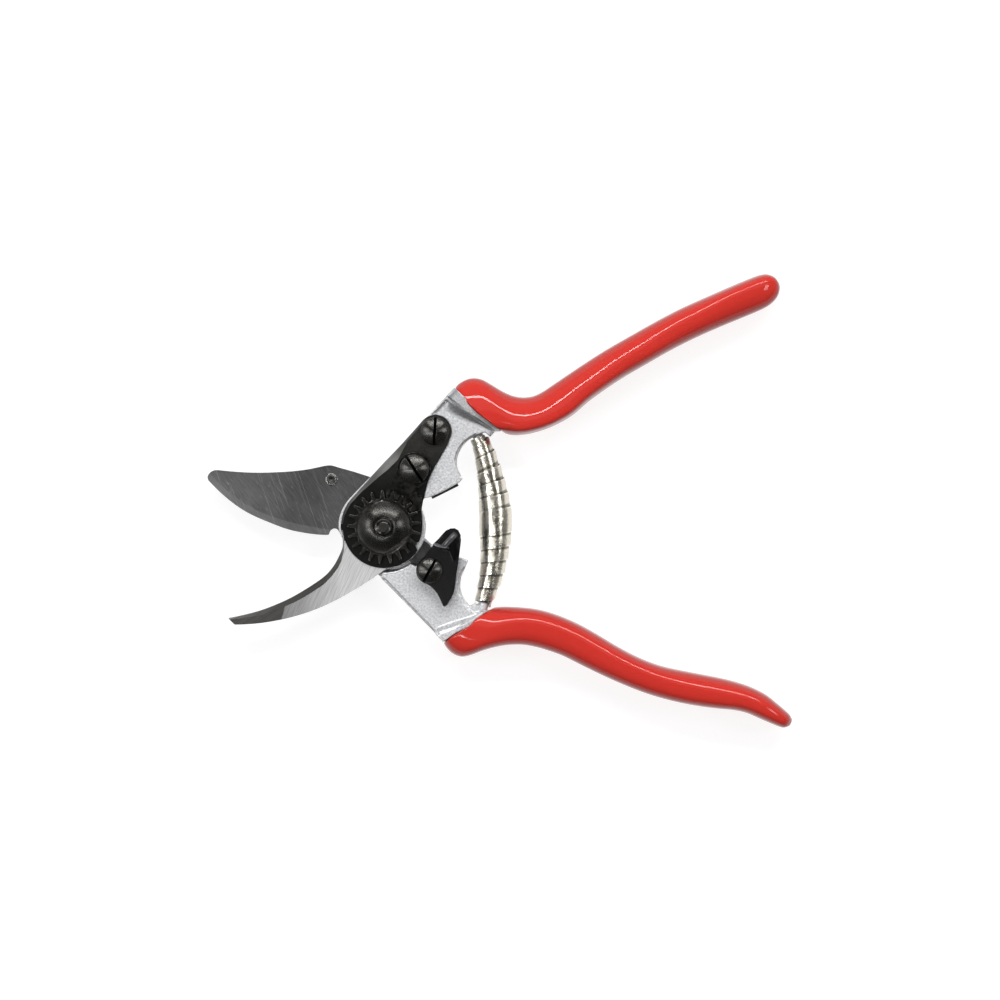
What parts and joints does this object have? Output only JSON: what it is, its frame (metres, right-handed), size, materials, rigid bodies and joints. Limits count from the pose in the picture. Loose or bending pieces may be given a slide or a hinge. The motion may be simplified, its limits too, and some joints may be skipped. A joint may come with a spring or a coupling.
{
  "type": "pruning shears",
  "caption": "One-hand bypass pruning shears with curved cutting blade, hooked anvil blade, return spring, thumb catch and soft-coated handles.",
  "frame": {"origin": "on the pivot axis, on the flat underside of the pivot bolt's head, level with the undersides of both grips: the plane the open shears lie on", "axes": "+X from the blade tips towards the ends of the grips; +Y towards the handle that carries the hooked anvil blade; +Z along the pivot axis, up out of the surface, from the bolt's head to the toothed nut"},
  "size_m": [0.1899, 0.1475, 0.0206],
  "materials": {
    "handle_casting": "shot-blasted light-alloy forging",
    "grip_coating": "thick glossy red dip coating",
    "black_steel": "black-oxidised steel, slightly oily sheen",
    "blade_steel": "ground grey blade steel with fine diagonal scratches",
    "bright_steel": "plain turned steel",
    "spring_steel": "nickel-plated spring strip",
    "bush_bronze": "sintered bronze",
    "buffer_rubber": "moulded black rubber",
    "catch_black": "black moulded or painted, satin"
  },
  "bodies": {
    "anvil_side": {"upper_handle": "handle_casting", "upper_grip": "grip_coating", "anvil_blade": "black_steel", "anvil_screw": "black_steel", "toothed_segment": "black_steel", "segment_screw": "black_steel", "pivot_bolt": "black_steel", "pivot_nut": "black_steel", "pivot_washer": "bright_steel", "stop_buffer": "buffer_rubber", "return_spring": "spring_steel"},
    "blade_side": {"lower_handle": "handle_casting", "lower_grip": "grip_coating", "cutting_blade": "blade_steel", "blade_screw": "bright_steel", "blade_dowel": "bright_steel", "blade_stud": "bright_steel", "pivot_bush": "bush_bronze", "catch_screw": "black_steel", "catch_washer": "bright_steel"},
    "catch": {"thumb_catch": "catch_black"}
  },
  "joints": [
    {"name": "blade_pivot", "type": "hinge", "parent": "anvil_side", "child": "blade_side", "pos_m": [0, 0, 0.0097], "axis": [0, 0, 1], "range_deg": [0, 48.5], "stiffness_Nm_per_rad": 0.8, "springref_deg": -14.32, "deforming": ["return_spring"]},
    {"name": "catch_pivot", "type": "hinge", "parent": "blade_side", "child": "catch", "pos_m": [0.0149, -0.014, 0.017], "axis": [0, 0, 1], "range_deg": [0, 18]}
  ]
}
